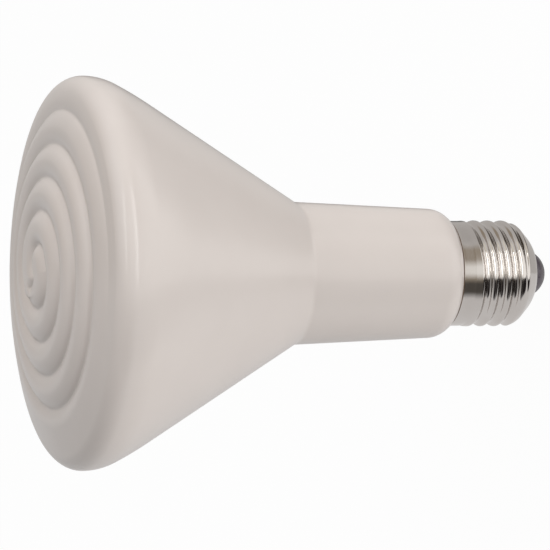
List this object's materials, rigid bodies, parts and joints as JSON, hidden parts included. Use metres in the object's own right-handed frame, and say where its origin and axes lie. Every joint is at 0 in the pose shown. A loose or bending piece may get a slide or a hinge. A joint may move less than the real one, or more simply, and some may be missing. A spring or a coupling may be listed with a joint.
{
  "type": "ceramic heat emitter",
  "caption": "Screw-in ceramic heat emitter: a cast cone with a spiral-ridged domed face, a slim neck and a threaded metal cap.",
  "frame": {"origin": "tip of the centre contact, on the axis", "axes": "+Z along the axis from the cap to the spiral face; +Y is the top of the picture; +X is the side nearer its camera"},
  "size_m": [0.095, 0.095, 0.1329],
  "materials": {
    "ceramic": "warm grey-beige satin glaze",
    "shell_metal": "bright nickel plate on thin brass sheet",
    "insulator": "dark violet-grey insulating glass",
    "contact_metal": "dulled dark nickel",
    "cement": "brown cap cement"
  },
  "bodies": {
    "root": {"ceramic_body": "ceramic", "screw_shell": "shell_metal", "cap_insulator": "insulator", "centre_contact": "contact_metal", "cap_cement": "cement"}
  },
  "joints": []
}
